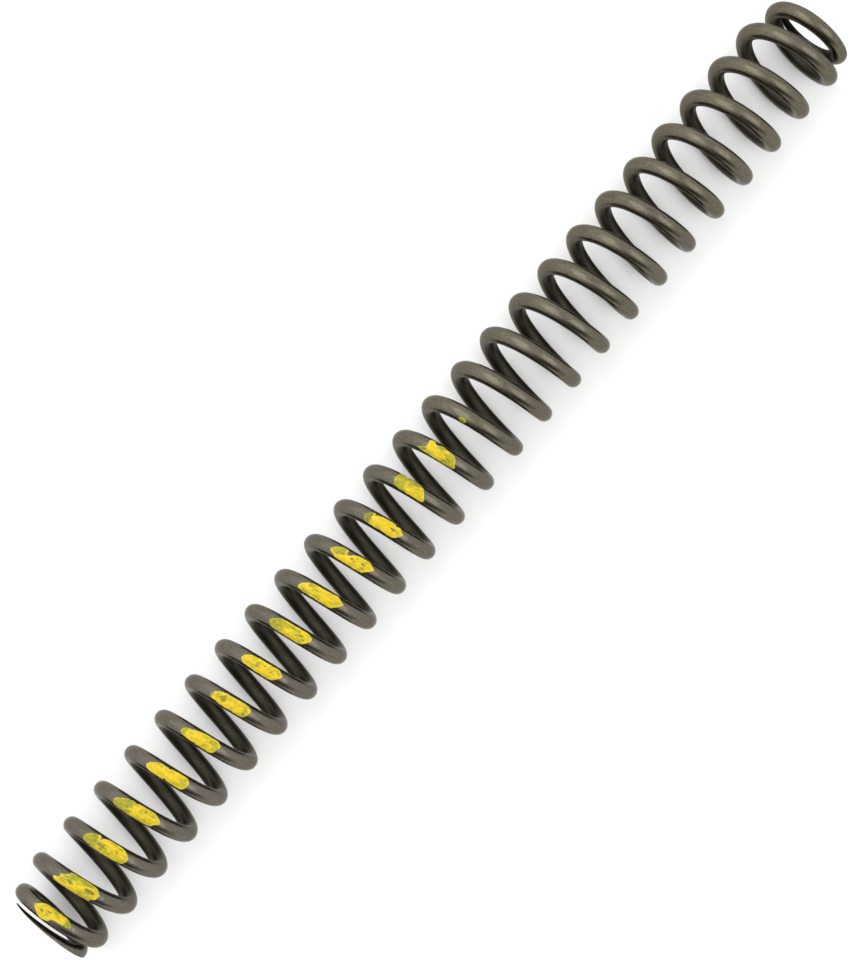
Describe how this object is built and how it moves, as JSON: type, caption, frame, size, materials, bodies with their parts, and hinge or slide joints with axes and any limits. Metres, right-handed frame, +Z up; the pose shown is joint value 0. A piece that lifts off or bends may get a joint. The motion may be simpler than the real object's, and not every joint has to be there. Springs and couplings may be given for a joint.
{
  "type": "coil spring",
  "caption": "Long slender compression coil spring of round dark steel wire, ends closed and ground flat, yellow paint marks along one half.",
  "frame": {"origin": "on the surface the spring lies on, under the middle of its length", "axes": "+X along the coil's axis from the painted end to the plain end, +Z up with the paint marks on top"},
  "size_m": [0.316, 0.029, 0.0292],
  "materials": {
    "spring_wire": "satin, dark oil-tempered scale",
    "rate_paint": "thick brushed yellow enamel"
  },
  "bodies": {
    "painted_end": {"painted_end_coil": "spring_wire", "turn_02": "spring_wire", "paint_mark_01": "rate_paint"},
    "turn_03": {"turn_03": "spring_wire", "paint_mark_02": "rate_paint"},
    "turn_04": {"turn_04": "spring_wire", "paint_mark_03": "rate_paint"},
    "turn_05": {"turn_05": "spring_wire", "paint_mark_04": "rate_paint"},
    "turn_06": {"turn_06": "spring_wire", "paint_mark_05": "rate_paint"},
    "turn_07": {"turn_07": "spring_wire", "paint_mark_06": "rate_paint"},
    "turn_08": {"turn_08": "spring_wire", "paint_mark_07": "rate_paint"},
    "turn_09": {"turn_09": "spring_wire", "paint_mark_08": "rate_paint"},
    "turn_10": {"turn_10": "spring_wire", "paint_mark_09": "rate_paint"},
    "turn_11": {"turn_11": "spring_wire", "paint_mark_10": "rate_paint"},
    "turn_12": {"turn_12": "spring_wire", "paint_mark_11": "rate_paint"},
    "turn_13": {"turn_13": "spring_wire", "paint_mark_12": "rate_paint"},
    "turn_14": {"turn_14": "spring_wire", "paint_mark_13": "rate_paint"},
    "turn_15": {"turn_15": "spring_wire", "paint_mark_14": "rate_paint"},
    "turn_16": {"turn_16": "spring_wire", "paint_fleck": "rate_paint"},
    "turn_17": {"turn_17": "spring_wire"},
    "turn_18": {"turn_18": "spring_wire"},
    "turn_19": {"turn_19": "spring_wire"},
    "turn_20": {"turn_20": "spring_wire"},
    "turn_21": {"turn_21": "spring_wire"},
    "turn_22": {"turn_22": "spring_wire"},
    "turn_23": {"turn_23": "spring_wire"},
    "turn_24": {"turn_24": "spring_wire"},
    "turn_25": {"turn_25": "spring_wire"},
    "turn_26": {"turn_26": "spring_wire"},
    "plain_end": {"turn_27": "spring_wire", "plain_end_coil": "spring_wire"}
  },
  "joints": [
    {"name": "compression", "type": "slide", "parent": "painted_end", "child": "plain_end", "axis": [-1, 0, 0], "range_m": [0, 0.175], "stiffness_N_per_m": 10900},
    {"name": "turn_03_travel", "type": "slide", "parent": "painted_end", "child": "turn_03", "axis": [-1, 0, 0], "range_m": [0, 0.00482]},
    {"name": "turn_04_travel", "type": "slide", "parent": "painted_end", "child": "turn_04", "axis": [-1, 0, 0], "range_m": [0, 0.01202]},
    {"name": "turn_05_travel", "type": "slide", "parent": "painted_end", "child": "turn_05", "axis": [-1, 0, 0], "range_m": [0, 0.01922]},
    {"name": "turn_06_travel", "type": "slide", "parent": "painted_end", "child": "turn_06", "axis": [-1, 0, 0], "range_m": [0, 0.02643]},
    {"name": "turn_07_travel", "type": "slide", "parent": "painted_end", "child": "turn_07", "axis": [-1, 0, 0], "range_m": [0, 0.03363]},
    {"name": "turn_08_travel", "type": "slide", "parent": "painted_end", "child": "turn_08", "axis": [-1, 0, 0], "range_m": [0, 0.04083]},
    {"name": "turn_09_travel", "type": "slide", "parent": "painted_end", "child": "turn_09", "axis": [-1, 0, 0], "range_m": [0, 0.04803]},
    {"name": "turn_10_travel", "type": "slide", "parent": "painted_end", "child": "turn_10", "axis": [-1, 0, 0], "range_m": [0, 0.05523]},
    {"name": "turn_11_travel", "type": "slide", "parent": "painted_end", "child": "turn_11", "axis": [-1, 0, 0], "range_m": [0, 0.06243]},
    {"name": "turn_12_travel", "type": "slide", "parent": "painted_end", "child": "turn_12", "axis": [-1, 0, 0], "range_m": [0, 0.06964]},
    {"name": "turn_13_travel", "type": "slide", "parent": "painted_end", "child": "turn_13", "axis": [-1, 0, 0], "range_m": [0, 0.07684]},
    {"name": "turn_14_travel", "type": "slide", "parent": "painted_end", "child": "turn_14", "axis": [-1, 0, 0], "range_m": [0, 0.08404]},
    {"name": "turn_15_travel", "type": "slide", "parent": "painted_end", "child": "turn_15", "axis": [-1, 0, 0], "range_m": [0, 0.09124]},
    {"name": "turn_16_travel", "type": "slide", "parent": "painted_end", "child": "turn_16", "axis": [-1, 0, 0], "range_m": [0, 0.09844]},
    {"name": "turn_17_travel", "type": "slide", "parent": "painted_end", "child": "turn_17", "axis": [-1, 0, 0], "range_m": [0, 0.10564]},
    {"name": "turn_18_travel", "type": "slide", "parent": "painted_end", "child": "turn_18", "axis": [-1, 0, 0], "range_m": [0, 0.11285]},
    {"name": "turn_19_travel", "type": "slide", "parent": "painted_end", "child": "turn_19", "axis": [-1, 0, 0], "range_m": [0, 0.12005]},
    {"name": "turn_20_travel", "type": "slide", "parent": "painted_end", "child": "turn_20", "axis": [-1, 0, 0], "range_m": [0, 0.12725]},
    {"name": "turn_21_travel", "type": "slide", "parent": "painted_end", "child": "turn_21", "axis": [-1, 0, 0], "range_m": [0, 0.13445]},
    {"name": "turn_22_travel", "type": "slide", "parent": "painted_end", "child": "turn_22", "axis": [-1, 0, 0], "range_m": [0, 0.14165]},
    {"name": "turn_23_travel", "type": "slide", "parent": "painted_end", "child": "turn_23", "axis": [-1, 0, 0], "range_m": [0, 0.14885]},
    {"name": "turn_24_travel", "type": "slide", "parent": "painted_end", "child": "turn_24", "axis": [-1, 0, 0], "range_m": [0, 0.15606]},
    {"name": "turn_25_travel", "type": "slide", "parent": "painted_end", "child": "turn_25", "axis": [-1, 0, 0], "range_m": [0, 0.16326]},
    {"name": "turn_26_travel", "type": "slide", "parent": "painted_end", "child": "turn_26", "axis": [-1, 0, 0], "range_m": [0, 0.17046]}
  ],
  "couplings": [
    {"joint": "turn_03_travel", "follows": "compression", "ratio": 0.02469},
    {"joint": "turn_04_travel", "follows": "compression", "ratio": 0.06584},
    {"joint": "turn_05_travel", "follows": "compression", "ratio": 0.107},
    {"joint": "turn_06_travel", "follows": "compression", "ratio": 0.14815},
    {"joint": "turn_07_travel", "follows": "compression", "ratio": 0.1893},
    {"joint": "turn_08_travel", "follows": "compression", "ratio": 0.23045},
    {"joint": "turn_09_travel", "follows": "compression", "ratio": 0.2716},
    {"joint": "turn_10_travel", "follows": "compression", "ratio": 0.31276},
    {"joint": "turn_11_travel", "follows": "compression", "ratio": 0.35391},
    {"joint": "turn_12_travel", "follows": "compression", "ratio": 0.39506},
    {"joint": "turn_13_travel", "follows": "compression", "ratio": 0.43621},
    {"joint": "turn_14_travel", "follows": "compression", "ratio": 0.47737},
    {"joint": "turn_15_travel", "follows": "compression", "ratio": 0.51852},
    {"joint": "turn_16_travel", "follows": "compression", "ratio": 0.55967},
    {"joint": "turn_17_travel", "follows": "compression", "ratio": 0.60082},
    {"joint": "turn_18_travel", "follows": "compression", "ratio": 0.64198},
    {"joint": "turn_19_travel", "follows": "compression", "ratio": 0.68313},
    {"joint": "turn_20_travel", "follows": "compression", "ratio": 0.72428},
    {"joint": "turn_21_travel", "follows": "compression", "ratio": 0.76543},
    {"joint": "turn_22_travel", "follows": "compression", "ratio": 0.80658},
    {"joint": "turn_23_travel", "follows": "compression", "ratio": 0.84774},
    {"joint": "turn_24_travel", "follows": "compression", "ratio": 0.88889},
    {"joint": "turn_25_travel", "follows": "compression", "ratio": 0.93004},
    {"joint": "turn_26_travel", "follows": "compression", "ratio": 0.97119}
  ]
}
